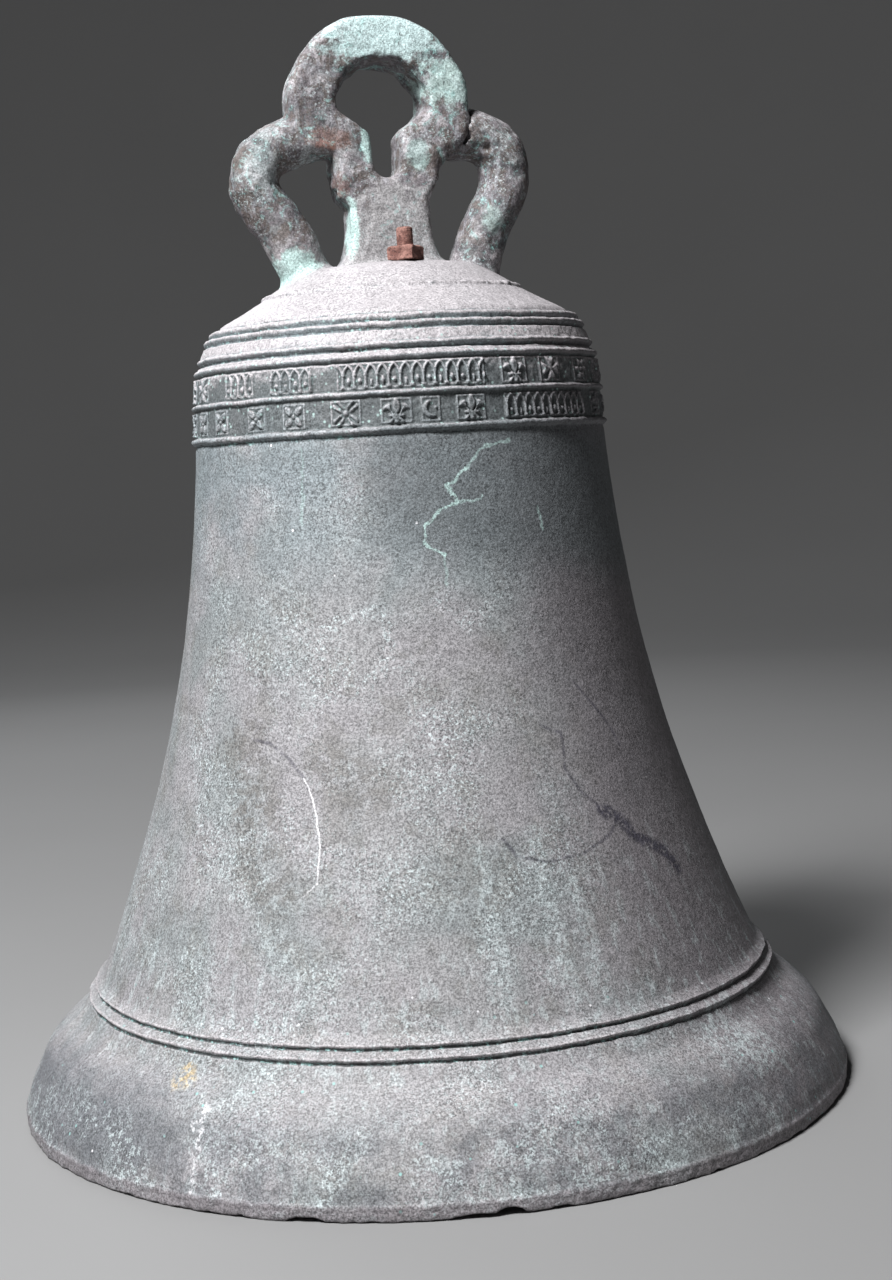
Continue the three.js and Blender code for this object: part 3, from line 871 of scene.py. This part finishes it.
def tile_relief(azimuth, height):
    """Height of the tiles and their ornaments above the wall."""
    relief = np.zeros(len(azimuth))
    rows = [
        (UPPER_ROW, all_round(UPPER_TILES, UPPER_REPEAT)),
        (LOWER_ROW, all_round(LOWER_TILES, LOWER_REPEAT)),
    ]
    for (middle, half), tiles in rows:
        for first, last, ornament in tiles:
            off = angle_from(azimuth, (first + last) / 2)
            half_width = np.radians(last - first) / 2 * BAND_RADIUS
            beside = np.abs(off) * BAND_RADIUS < half_width + 1
            near = np.nonzero(beside & (np.abs(height - middle) < half + 1))[0]
            u = off[near] * BAND_RADIUS
            v = height[near] - middle
            inset = np.minimum(half_width - np.abs(u), half - np.abs(v))
            border = np.clip(1.6 - np.abs(inset - 1.9), 0, 1)
            plate = np.clip(inset / 1.2, 0, 1) * 0.3 + border
            shape = np.clip(-ornament(u, v) / ORNAMENT_EDGE, 0, 1) ** 0.6
            shape *= np.clip((inset - 0.6) / 1.2, 0, 1)
            relief[near] += TILE_PROUD * plate + ORNAMENT_PROUD * shape
    return relief


# ---------- The bell's body ----------

LIP_RADIUS = 498
# Broken places on the lip: azimuth in degrees, half width and height in millimetres.
LIP_CHIPS = [
    (-29.5, 21, 5.5), (-9, 32, 5), (-5.5, 16, 9), (38, 12, 4), (108, 26, 5), (170, 20, 7), (246, 30, 4),
]
LIP_WEAR = [(31, 2.6), (11, 1.9), (5, 0.9)]
WAVER = [(40, 0.5), (9, 0.7)]  # how far the mouldings stray up and down
RIM_ROUGHNESS = [(23, 0.8), (8, 0.8), (4, 0.4)]
WALL_ROUGHNESS = [(260, 0.5), (70, 0.5), (24, 0.28), (9, 0.2)]
RELIEF_ROUGHNESS = [(7, 0.35), (3.2, 0.3)]


def row_spacing(height):
    if RELIEF_BAND[0] < height < 920:
        return 1.2
    if 132 < height < 166 or 948 < height < 955:
        return 1.1
    if height < LIP_RIM:
        return 1.8
    return 4.0


def row_columns(height):
    if RELIEF_BAND[0] < height < RELIEF_BAND[1]:
        return BAND_COLUMNS
    return LIP_COLUMNS if height < LIP_RIM else BODY_COLUMNS


def outline_rows():
    """Rows of the outside, from the head down: points and outward normals in (radius, height)."""
    line = np.vstack([smooth_line(HEAD_OUTLINE, 0.5), smooth_line(OUTER_OUTLINE, 0.5)])
    lengths = np.concatenate([[0], np.cumsum(np.linalg.norm(np.diff(line, axis=0), axis=1))])
    places = [8.0]
    while places[-1] < lengths[-1] - 2:
        height = np.interp(places[-1], lengths, line[:, 1])
        places.append(places[-1] + row_spacing(height))
    places[-1] = lengths[-1]

    def sample(at):
        return np.stack([np.interp(at, lengths, line[:, i]) for i in range(2)], axis=1)

    places = np.array(places)
    tangent = sample(places + 0.8) - sample(places - 0.8)
    tangent /= np.linalg.norm(tangent, axis=1, keepdims=True)
    return sample(places), np.stack([-tangent[:, 1], tangent[:, 0]], axis=1)


def bridge(upper, lower):
    """Faces between two rings of points, where one may have a whole multiple of the other's number."""
    if len(upper) == len(lower):
        return np.stack([upper, lower, np.roll(lower, -1), np.roll(upper, -1)], axis=1)
    coarse, fine = (upper, lower) if len(upper) < len(lower) else (lower, upper)
    share = len(fine) // len(coarse)
    faces = []
    for step in range(share):
        owner = coarse if step < share / 2 else np.roll(coarse, -1)
        start = fine[step::share]
        end = np.roll(fine, -1)[step::share]
        faces.append(np.stack([owner, start, end], axis=1))
    faces.append(np.stack([coarse, fine[(share + 1) // 2 :: share], np.roll(coarse, -1)], axis=1))
    faces = np.concatenate(faces)
    return faces if coarse is upper else faces[:, ::-1]


def fan(pole, ring):
    """Triangles from one point to each side of a ring of points."""
    return np.stack([np.full(len(ring), pole), ring, np.roll(ring, -1)], axis=1)


def lip_damage(azimuth, height):
    """How far the lip's outer edge is broken up, in millimetres."""
    edge = np.stack([LIP_RADIUS * np.sin(azimuth), LIP_RADIUS * np.cos(azimuth), 0 * azimuth], axis=1)
    lift = np.clip(roughness(edge, LIP_WEAR, 15) - 0.4, 0, 3)
    for middle, half_width, rise in LIP_CHIPS:
        off = angle_from(azimuth, middle)
        share = np.clip(1 - (off * LIP_RADIUS / half_width) ** 2, 0, 1)
        lift = np.maximum(lift, rise * np.sqrt(share))
    return np.clip(lift - height, 0, None)


def round_axis(azimuth, radius, height):
    return np.stack([radius * np.sin(azimuth), -radius * np.cos(azimuth), height], axis=1)


# Where the height round a point is taken, to tell how far it stands above its surroundings.
HOLLOW_REACH = [(3, 0), (-3, 0), (0, 3), (0, -3), (2, 2), (-2, -2), (2, -2), (-2, 2)]


def relief(azimuth, height, waver):
    return moulding_height(height + waver) + tile_relief(azimuth, height)


def bell_body():
    spots, facing = outline_rows()
    inner = smooth_line(INNER_OUTLINE, 14)[:-1]
    inner = inner[inner[:, 0] > 8]
    columns = [row_columns(z) for _, z in spots]
    columns += [INSIDE_COLUMNS] * len(inner)
    spots = np.vstack([spots, inner])
    facing = np.vstack([facing, np.zeros_like(inner)])
    starts = np.concatenate([[0], np.cumsum(columns)])
    row = np.repeat(np.arange(len(columns)), columns)
    azimuth = np.concatenate([np.arange(count) * 2 * math.pi / count for count in columns])
    radius, height = spots[row].T
    out, up = facing[row].T
    bare = round_axis(azimuth, radius, height)
    waver = roughness(bare, WAVER, 17)
    raised = relief(azimuth, height, waver)
    around = [relief(azimuth + turn / BAND_RADIUS, height + rise, waver) for turn, rise in HOLLOW_REACH]
    proud = (raised - sum(around) / len(around)) * (out != 0)
    raised *= 1 + 0.16 * noise(bare, 34, 11)
    ledge = np.exp(-(((height - LEDGE_HEIGHT) / 2.5) ** 2))
    raised += ledge * 1.2 * noise(bare, 6, 13)
    raised += roughness(bare, WALL_ROUGHNESS, 20)
    fine = np.nonzero((height > RELIEF_BAND[0]) & (height < RELIEF_BAND[1]) & (out != 0))[0]
    raised[fine] += roughness(bare[fine], RELIEF_ROUGHNESS, 30)
    rim = np.clip(1.4 - height / LIP_RIM, 0, 1) ** 0.5
    raised += rim * (roughness(bare, RIM_ROUGHNESS, 14) - 0.8)
    raised = np.where(out == 0, raised * (up > 0), raised)
    broken = lip_damage(azimuth, height) * (radius > 480)
    radius = radius + raised * out - broken * 1.2
    height = height + raised * up + broken
    height = np.where(bare[:, 2] < 1.5, np.maximum(height, 0), height)
    points = round_axis(azimuth, radius, height)
    points = np.vstack([points, [[0, 0, HEAD_OUTLINE[0][1]], [0, 0, INNER_OUTLINE[-1][1]]]])
    proud = np.append(proud, [0, 0])
    rings = [np.arange(starts[i], starts[i + 1]) for i in range(len(columns))]
    quads, triangles = [], []
    for upper, lower in zip(rings, rings[1:]):
        faces = bridge(upper, lower)
        (quads if faces.shape[1] == 4 else triangles).append(faces)
    triangles += [fan(len(points) - 2, rings[0]), fan(len(points) - 1, rings[-1][::-1])]
    return points, [np.concatenate(quads), np.concatenate(triangles)], proud


add_piece("bell_body", *bell_body(), bell_bronze, "bell", "bell_bronze", "bell_casting")


# ---------- The crown ----------

LOOP_CENTRE = (-4, 1168)
LOOP_MIDDLE_RADIUS = 81
LOOP_HALF_WIDTH = 25.5
LOOP_FOOT = 1121
SLOT_X = -2
SLOT_TOP = 1127
SLOT_HALF_WIDTH = 16.5
CROWN_HALF_DEPTH = 31
CROWN_ROUNDING = 9
TRUNK = [
    (-68, 950), (-64, 975), (-54, 1000), (-48, 1028), (-47, 1052), (-60, 1066), (-65, 1092), (-67, 1114),
    (-92, 1122), (-92, 1150), (86, 1150), (84, 1120), (62, 1112), (60, 1084), (46, 1062), (46, 1040),
    (50, 1012), (58, 992), (70, 975), (76, 950),
]
# The canons' middle lines, as (x, z).
LEFT_CANON = [(-84, 935), (-100, 972), (-126, 1030), (-158, 1088), (-148, 1113), (-108, 1133), (-80, 1140)]
RIGHT_CANON = [(90, 935), (102, 975), (120, 1025), (147, 1083), (142, 1115), (121, 1133), (85, 1138)]
CANON_RADIUS = 30
CROWN_CELL = 1.8
CROWN_ROUGHNESS = [(60, 2.0), (26, 1.6), (11, 0.9), (5, 0.45)]
EYE_TAPER = 0.09  # the eye narrows towards the back
# Lumps of spilt metal under the joints: start, end, radius.
CASTING_DRIPS = [
    ((-56, -22, 1086), (-58, -22, 1068), 7),
    ((-61, -8, 1096), (-63, -8, 1080), 6),
    ((60, -20, 1106), (66, -22, 1112), 7),
    ((78, -22, 1118), (86, -20, 1122), 6),
]
HEAD_SINK = 1.5  # the crown's skirt lies this far under the head's surface
SKIRT_REACH = 9  # the roughness dies down this near to the head
CALM_FROM = 1235  # the roughness dies down above this height
CALM_REACH = 35
CALM_SHARE = 0.75
WORN_ABOVE = 1271.5  # the loop's top is worn a little flatter above this height
WORN_SHARE = 0.5


def bent_rod(x, y, z, points, radius):
    line = smooth_line([(a, 0, c) for a, c in points], 14)
    field = rod(x, y, z, line[0], line[1], radius)
    for start, end in zip(line[1:], line[2:]):
        field = np.minimum(field, rod(x, y, z, start, end, radius))
    return field


def head_field(x, y, z):
    """The bell's head, slightly sunk."""
    line = np.vstack([smooth_line(HEAD_OUTLINE, 2), smooth_line(OUTER_OUTLINE[:4], 2)])
    top = np.interp(np.hypot(x, y), line[:, 0], line[:, 1])
    return (z - top + HEAD_SINK) * 0.9


def crown_field(x, y, z):
    from_centre = np.hypot(x - LOOP_CENTRE[0], z - LOOP_CENTRE[1])
    outer_radius = LOOP_MIDDLE_RADIUS + LOOP_HALF_WIDTH
    bulge = np.hypot(x - LOOP_CENTRE[0] + 5, z - LOOP_CENTRE[1] - 2) - outer_radius + 1
    rim = np.minimum(from_centre - outer_radius, bulge)
    loop = smooth_max(rim, LOOP_FOOT - z, 8)
    outline = smooth_min(loop, polygon(x, z, TRUNK), 8)
    ragged = 1.7 * np.sin(x / 6 + z / 8) * np.sin(z / 5 - y / 9)
    shoulders = (SLOT_TOP + 0.68 * np.abs(x - SLOT_X) - z) * 0.83
    inside = from_centre - LOOP_MIDDLE_RADIUS + LOOP_HALF_WIDTH + EYE_TAPER * (y + CROWN_HALF_DEPTH) + ragged
    eye = smooth_max(inside, shoulders, 9)
    eye = smooth_min(eye, stroke(x, z, (SLOT_X, 1101), (SLOT_X, 1145), SLOT_HALF_WIDTH), 7)
    outline = np.maximum(outline, -eye)
    argent = thick(outline, y, CROWN_HALF_DEPTH, CROWN_ROUNDING)
    left = smooth_min(argent, bent_rod(x, y, z, LEFT_CANON, CANON_RADIUS), 9)
    for start, end, radius in CASTING_DRIPS:
        left = smooth_min(left, rod(x, y, z, start, end, radius), 5)
    right = bent_rod(x, y, z, RIGHT_CANON, CANON_RADIUS)
    crack = 4 + 1.8 * np.sin(z / 5.5) * np.sin(y / 7 + 2) + 1.5 * np.sin(z / 2.6 + y / 4)
    right = np.maximum(right, crack - argent)
    pit = rod(x, y, z, (114, -31, 1112), (122, -27, 1118), 4.5)
    right = smooth_max(right, -pit, 3)
    standing = np.minimum(left, right)
    return smooth_min(standing, head_field(x, y, z), 13)


def crown():
    points, quads = skin(crown_field, (-200, -62, 948), (196, 62, 1284), CROWN_CELL)
    points = relax(points, quads, 2)
    calm = CALM_SHARE * np.clip((points[:, 2] - CALM_FROM) / CALM_REACH, 0, 1)
    near_head = np.clip(head_field(*points.T) / SKIRT_REACH, 0, 1)
    rough = roughness(points, CROWN_ROUGHNESS, 40) * (1 - calm) * near_head
    points = points + normals_of(points, quads) * rough[:, None]
    top = points[:, 2] > WORN_ABOVE
    points[top, 2] = WORN_ABOVE + WORN_SHARE * (points[top, 2] - WORN_ABOVE)
    return points, [quads], rough


add_piece("crown", *crown(), crown_bronze, "bell", "crown_bronze", "argent", "left_canon", "right_canon")


# ---------- Staple bolts and nuts ----------

NUT_HALF = 16.2
NUT_HEIGHT = 16
NUT_BASE = 983.3
NUT_TURN = math.radians(51.5)
BOLT_OFFSET = 84
BOLT_RADIUS = 9.8
BOLT_TOP = 1021.4
BOLT_HEAD = (914.4, 926.4)
THREAD_PITCH = 2.54
THREAD_DEPTH = 0.6
HARDWARE_CELL = 0.7


def nut_field(x, y, z):
    a = x * math.cos(NUT_TURN) + y * math.sin(NUT_TURN)
    b = y * math.cos(NUT_TURN) - x * math.sin(NUT_TURN)
    flats = np.maximum(np.abs(a), np.abs(b)) - NUT_HALF
    block = thick(flats, z - NUT_BASE - NUT_HEIGHT / 2, NUT_HEIGHT / 2, 1.6)
    cone = (np.hypot(x, y) + z - NUT_BASE - NUT_HEIGHT - 20) * 0.7
    return np.maximum(np.maximum(block, cone), BOLT_RADIUS + 0.9 - np.hypot(x, y))


def bolt_field(x, y, z):
    turn = np.arctan2(y, x) / (2 * math.pi)
    thread = np.abs((z / THREAD_PITCH - turn) % 1 - 0.5) * 2 * THREAD_DEPTH
    thread = thread * (z > NUT_BASE - 25)
    shaft = np.maximum(np.hypot(x, y) - BOLT_RADIUS + thread, np.maximum(z - BOLT_TOP, BOLT_HEAD[0] - z))
    tip = (np.hypot(x, y) + z - BOLT_TOP - 7.5) * 0.7
    flats = np.maximum(np.abs(x), np.abs(y)) - NUT_HALF
    head = thick(flats, z - sum(BOLT_HEAD) / 2, 6, 1.5)
    return np.minimum(np.maximum(shaft, tip), head)


def staple_hardware():
    pieces = [
        ("_nut", nut_field, (-25, -25, 982), (25, 25, 1003), [(9, 0.8), (4, 0.7), (2, 0.3)], 60),
        ("_bolt", bolt_field, (-18, -18, 913), (18, 18, 1022), [(5, 0.2)], 64),
    ]
    for place, side in (("front", -1), ("rear", 1)):
        for kind, field, low, high, layers, seed in pieces:
            points, *rest = rough_skin(field, low, high, HARDWARE_CELL, layers, seed + side)
            points += (0, side * BOLT_OFFSET, 0)
            add_piece(place + kind, points, *rest, nut_rust, "bell", "rusty_iron", place + "_staple" + kind)


staple_hardware()


# ---------- Clapper gear ----------

PIVOT = 862
STAPLE_TOP = 942.7
STAPLE_BOTTOM = 926.7
STAPLE_HALF_LENGTH = 107
STAPLE_HALF_THICKNESS = 8
EAR_INNER = 19.5
EAR_OUTER = 34
EAR_RADIUS = 30
PIN_RADIUS = 13
PIN_MIDDLE = 5
PIN_HALF_LENGTH = 50.7
PIN_HEAD_RADIUS = 22
PIN_HEAD_MIDDLE = -40.3
PIN_HEAD_HALF = 6
BUSH_RADIUS = 18.6
EYE_RADIUS = 37
EYE_HALF_WIDTH = 17
BALL_RADIUS = 55
BALL_HEIGHT = 68
FLIGHT_BOTTOM = 8
SHANK_TOP = PIVOT - 34
SHANK_HEIGHTS = [8, 128, 150, 320, 700, 840]
SHANK_RADII = [21, 24, 24, 21, 18.2, 16.5]
COTTER_X = 47.5


def staple_field(x, y, z):
    plate = np.maximum(np.abs(x) - EAR_OUTER, np.abs(y) - STAPLE_HALF_LENGTH)
    bridge_bar = thick(plate, z - (STAPLE_TOP + STAPLE_BOTTOM) / 2, STAPLE_HALF_THICKNESS, 3)
    for side in (-1, 1):
        hole = np.hypot(x, y - side * BOLT_OFFSET) - BOLT_RADIUS - 1
        bridge_bar = np.maximum(bridge_bar, -hole)
    round_end = np.hypot(y, z - PIVOT) - EAR_RADIUS
    arm = np.maximum(np.abs(y) - EAR_RADIUS, np.maximum(PIVOT - z, z - STAPLE_BOTTOM - 4))
    across = np.abs(x) - (EAR_INNER + EAR_OUTER) / 2
    ear = thick(np.minimum(round_end, arm), across, (EAR_OUTER - EAR_INNER) / 2, 2.5)
    whole = smooth_min(bridge_bar, ear, 5)
    return np.maximum(whole, PIN_RADIUS + 0.8 - np.hypot(y, z - PIVOT))


def ring_field(radius, hole, first, last, rounding):
    """A ring round the pin's axis, between two places along X."""

    def field(x, y, z):
        reach = np.hypot(y, z - PIVOT)
        outline = np.maximum(reach - radius, hole - reach)
        return thick(outline, x - (first + last) / 2, (last - first) / 2, rounding)

    return field


def pin_field(x, y, z):
    reach = np.hypot(y, z - PIVOT)
    shaft = thick(reach - PIN_RADIUS, x - PIN_MIDDLE, PIN_HALF_LENGTH, 1.5)
    head = thick(reach - PIN_HEAD_RADIUS, x - PIN_HEAD_MIDDLE, PIN_HEAD_HALF, 2.5)
    whole = np.minimum(shaft, head)
    return np.maximum(whole, 3 - np.hypot(x - COTTER_X, y))


def cotter_field(x, y, z):
    leg = rod(x, y, z, (COTTER_X, 0, PIVOT - 19), (COTTER_X, 0, PIVOT + 19), 2.4)
    legs_spread = rod(x, y, z, (COTTER_X, 0, PIVOT - 18), (COTTER_X, -7, PIVOT - 27), 1.9)
    other_leg = rod(x, y, z, (COTTER_X, 0, PIVOT - 18), (COTTER_X, 5, PIVOT - 26), 1.7)
    reach = np.hypot(y, z - PIVOT - 23) - 4.6
    ring = np.hypot(reach, x - COTTER_X) - 2
    return np.minimum(np.minimum(leg, ring), np.minimum(legs_spread, other_leg))


def clapper_field(x, y, z):
    around = np.hypot(x, y)
    girth = np.interp(z, SHANK_HEIGHTS, SHANK_RADII)
    shank = np.maximum(around - girth, np.maximum(z - SHANK_TOP, FLIGHT_BOTTOM - z))
    ball = np.sqrt(around**2 + ((z - BALL_HEIGHT) * 1.02) ** 2) - BALL_RADIUS + 0.3
    whole = smooth_min(shank, ball, 14)
    eye = thick(np.hypot(y, z - PIVOT) - EYE_RADIUS, x, EYE_HALF_WIDTH, 4)
    whole = smooth_min(whole, eye, 7)
    whole = np.maximum(whole, FLIGHT_BOTTOM + 0.3 - z)
    return np.maximum(whole, BUSH_RADIUS + 0.7 - np.hypot(y, z - PIVOT))


def clapper_gear():
    hammered = [(35, 0.6), (12, 0.35), (4, 0.15)]
    washer_field = ring_field(24, 13.8, 34.3, 39.3, 1)
    pieces = [
        ("staple", staple_field, (-35, -109, 830), (35, 109, 944), 1.5, "bell", "clapper_staple"),
        ("pin", pin_field, (-48, -23, 838), (57, 23, 886), 1.0, "bell", "clapper_pin"),
        ("washer", washer_field, (33, -25, 837), (41, 25, 887), 0.7, "bell", "pin_washer"),
        ("cotter", cotter_field, (44, -10, 832), (51, 10, 892), 0.6, "bell", "pin_cotter"),
        ("clapper", clapper_field, (-57, -57, 6), (57, 57, 900), 2.0, "clapper", "clapper"),
    ]
    for seed, (name, field, low, high, cell, body, node) in enumerate(pieces):
        layers = hammered if cell > 1 else [(4, 0.12)]
        piece = rough_skin(field, low, high, cell, layers, 80 + seed)
        slot_name = "clapper_iron" if node == "clapper" else "forged_iron"
        add_piece(name, *piece, dark_iron, body, slot_name, node)
    bush = ring_field(BUSH_RADIUS, 13.7, -17, 17, 0.8)
    piece = rough_skin(bush, (-18, -20, 842), (18, 20, 882), 0.8, [(5, 0.1)], 90)
    add_piece("bush", *piece, bush_leather, "clapper", "bush_leather", "clapper_bush")


clapper_gear()


# ---------- Floor and light ----------

FLOOR_REACH = 5000  # flat floor all round, before it curves up
SWEEP_RADIUS = 4000
SWEEP_TOP = 8000
SWEEP_COLUMNS = 96


def floor():
    """A pale studio floor that curves up into a wall all round."""
    bend = np.linspace(0, math.pi / 2, 13)
    reaches = [500, *(FLOOR_REACH + SWEEP_RADIUS * np.sin(bend)), FLOOR_REACH + SWEEP_RADIUS]
    heights = [0, *(SWEEP_RADIUS * (1 - np.cos(bend))), SWEEP_TOP]
    azimuth = np.arange(SWEEP_COLUMNS) / SWEEP_COLUMNS * 2 * math.pi
    circle = np.stack([np.cos(azimuth), np.sin(azimuth), 0 * azimuth], axis=1)
    points = [circle * reach + (0, 0, height) for reach, height in zip(reaches, heights)]
    rings = [np.arange(SWEEP_COLUMNS) + SWEEP_COLUMNS * i for i in range(len(points))]
    quads = [bridge(inner, outer) for inner, outer in zip(rings, rings[1:])]
    points = np.vstack([*points, (0, 0, 0)])
    look = Look("floor_paint")
    look.colour = look.mix(look.noise(900, 3, 0.5), (0.225, 0.224, 0.222), (0.242, 0.241, 0.239))
    look.bump(look.noise(3, 4, 0.6), 0.2, 0.3)
    faces = [np.concatenate(quads), fan(len(points) - 1, rings[0])]
    add_mesh("floor", points, faces, look.finish(0.85, 0.2))


def area_light(name, place, target, size, power, colour):
    data = bpy.data.lights.new(name, "AREA")
    data.shape = "RECTANGLE"
    data.size, data.size_y = size
    data.energy = power
    data.color = colour
    light = bpy.data.objects.new(name, data)
    light.location = place
    light.rotation_euler = (Vector(target) - Vector(place)).to_track_quat("-Z", "Y").to_euler()
    bpy.context.scene.collection.objects.link(light)


def lights():
    area_light("key", (-2.1, -1.75, 3.75), (0, 0, 0.6), (1.1, 1.1), 408, (0.98, 0.985, 1.0))
    area_light("fill", (2.4, -3.2, 1.4), (0, 0, 0.5), (2.5, 2.5), 1.5, (0.92, 0.96, 1.0))
    area_light("back", (-0.7, 3.9, 3.3), (0, 0.4, 0.3), (2.5, 2.5), 80, (0.95, 0.97, 1.0))
    world = bpy.data.worlds.new("studio")
    world.use_nodes = True
    background = world.node_tree.nodes["Background"]
    background.inputs["Color"].default_value = (0.62, 0.64, 0.66, 1)
    background.inputs["Strength"].default_value = 0.045
    bpy.context.scene.world = world
    bpy.context.scene.view_settings.view_transform = "Standard"


floor()
lights()
